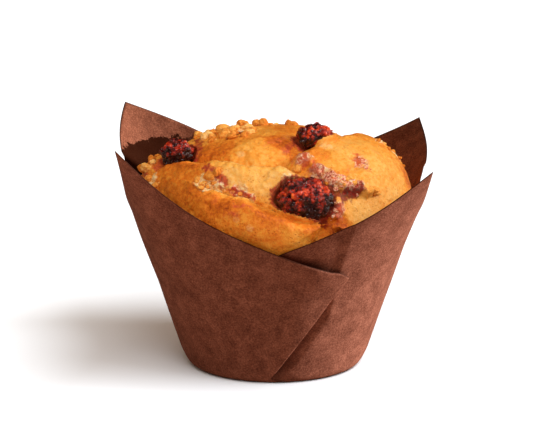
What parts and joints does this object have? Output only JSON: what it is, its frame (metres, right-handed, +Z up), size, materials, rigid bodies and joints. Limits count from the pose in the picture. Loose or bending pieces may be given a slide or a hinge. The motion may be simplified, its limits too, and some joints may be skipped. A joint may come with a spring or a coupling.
{
  "type": "berry muffin in paper case",
  "caption": "Domed muffin with baked-in red berries and pale crumble, standing in a tall folded brown paper case with four pointed corners.",
  "frame": {"origin": "centre of the case's flat foot, on the surface that it stands on", "axes": "+Z up, the pictured front towards -Y, +X to the right as seen from the front"},
  "size_m": [0.0925, 0.0883, 0.0717],
  "materials": {
    "paper": "matte brown greaseproof paper with fine fibres",
    "crust": "baked golden crust, satin, with pale crumb where torn",
    "berry": "wet dark red berry flesh"
  },
  "bodies": {
    "root": {"paper_wrap": "paper", "muffin": "crust", "berry_front": "berry", "berry_left": "berry", "berry_top": "berry"}
  },
  "joints": []
}
